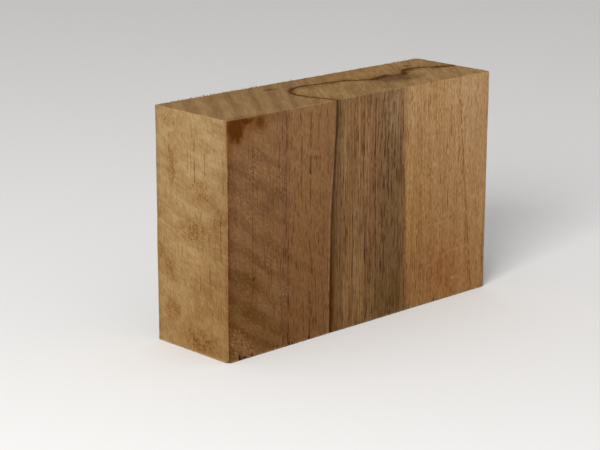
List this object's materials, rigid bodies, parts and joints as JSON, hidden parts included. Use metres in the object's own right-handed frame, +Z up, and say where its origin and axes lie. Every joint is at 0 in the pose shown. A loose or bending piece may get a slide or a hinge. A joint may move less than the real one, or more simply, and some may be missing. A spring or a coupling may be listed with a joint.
{
  "type": "walnut wood block",
  "caption": "Solid walnut block sawn square on all six faces, standing on its end grain, as raw stock for carving, turning and small joinery.",
  "frame": {"origin": "centre of the end-grain face that the block stands on", "axes": "+X along the long side, +Y from the front face to the back face through the thickness, +Z up the grain"},
  "size_m": [0.125, 0.035, 0.08],
  "materials": {
    "walnut": "matte"
  },
  "bodies": {
    "root": {"walnut_block": "walnut"}
  },
  "joints": []
}
